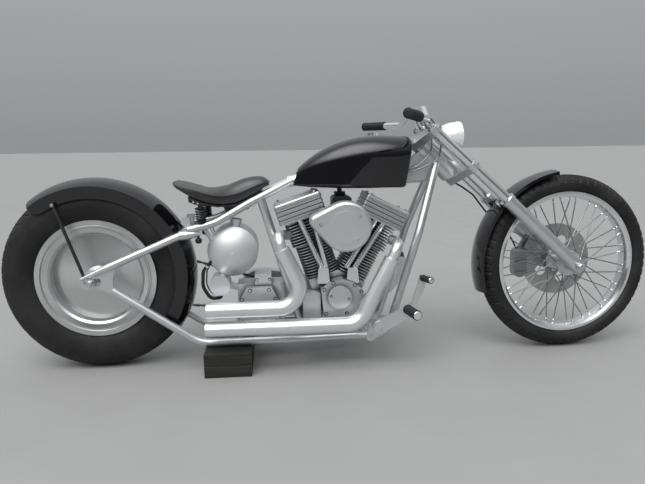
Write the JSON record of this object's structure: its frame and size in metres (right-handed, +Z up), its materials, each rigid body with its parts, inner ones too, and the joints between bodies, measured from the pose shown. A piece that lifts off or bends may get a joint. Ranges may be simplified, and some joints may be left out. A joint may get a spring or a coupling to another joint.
{
  "type": "chopper motorcycle",
  "caption": "Long low custom motorcycle with a raked fork, V-twin engine, solo saddle and rigid frame, standing on a block.",
  "frame": {"origin": "on the floor, under the middle of the machine's overall length, in its middle plane", "axes": "+X forward towards the front wheel, +Y to the rider's left, +Z up"},
  "size_m": [2.5076, 0.7182, 0.9589],
  "materials": {
    "frame_metal": "satin silver paint",
    "steel": "bright zinc",
    "black_gloss": "gloss",
    "black_satin": "satin",
    "leather": "smooth black",
    "polished": "polished",
    "cast_aluminium": "bead blasted",
    "brushed_aluminium": "satin",
    "exhaust": "satin",
    "chain_steel": "oiled dark steel",
    "rubber": "matte",
    "block_black": "painted black",
    "lens": "clear",
    "tyre": "matte",
    "rotor_steel": "ground"
  },
  "bodies": {
    "frame": {"steering_neck": "frame_metal", "frame_down_tubes": "frame_metal", "frame_lower_rails": "frame_metal", "frame_upper_rails": "frame_metal", "frame_seat_tubes": "frame_metal", "frame_cross_tubes": "frame_metal", "axle_plates": "frame_metal", "rear_axle": "steel", "rear_fender": "black_gloss", "fender_struts": "black_satin", "seat_cushion": "leather", "seat_pan": "black_satin", "seat_springs": "black_satin", "fuel_tank": "black_gloss", "fuel_cap": "polished", "crankcase": "cast_aluminium", "cam_cover": "cast_aluminium", "cylinders": "cast_aluminium", "rocker_boxes": "brushed_aluminium", "pushrod_tubes": "polished", "air_cleaner": "brushed_aluminium", "carburettor": "cast_aluminium", "ignition_coil": "black_satin", "exhaust_pipes": "exhaust", "transmission": "cast_aluminium", "primary_cover": "brushed_aluminium", "drive_chain": "chain_steel", "oil_tank": "brushed_aluminium", "oil_filter": "brushed_aluminium", "oil_lines": "rubber", "rear_caliper": "cast_aluminium", "foot_controls": "brushed_aluminium", "foot_pegs": "rubber", "stand_block": "block_black"},
    "steering": {"triple_trees": "frame_metal", "fork_tubes": "polished", "fork_sliders": "frame_metal", "handlebar": "polished", "grips": "rubber", "headlight": "frame_metal", "headlight_lens": "lens", "front_fender": "black_gloss", "front_axle": "steel", "brake_caliper": "cast_aluminium", "brake_hose": "rubber"},
    "front_wheel": {"front_tyre": "tyre", "front_rim": "polished", "front_hub": "brushed_aluminium", "front_spokes": "steel", "front_rotor": "rotor_steel"},
    "rear_wheel": {"rear_tyre": "tyre", "rear_rim": "brushed_aluminium", "rear_disc": "brushed_aluminium", "rear_hub": "brushed_aluminium", "rear_sprocket": "rotor_steel"}
  },
  "joints": [
    {"name": "steering", "type": "hinge", "parent": "frame", "child": "steering", "pos_m": [0.37508, 0, 0.74292], "axis": [-0.7408, 0, 0.6717], "range_deg": [-33, 27]},
    {"name": "front_wheel_spin", "type": "hinge", "parent": "steering", "child": "front_wheel", "pos_m": [0.90694, 0.00335, 0.34694], "axis": [-0.0352, 0.9986, -0.0388], "continuous": true},
    {"name": "rear_wheel_spin", "type": "hinge", "parent": "frame", "child": "rear_wheel", "pos_m": [-0.906, 0, 0.348], "axis": [0, 1, 0], "continuous": true}
  ]
}
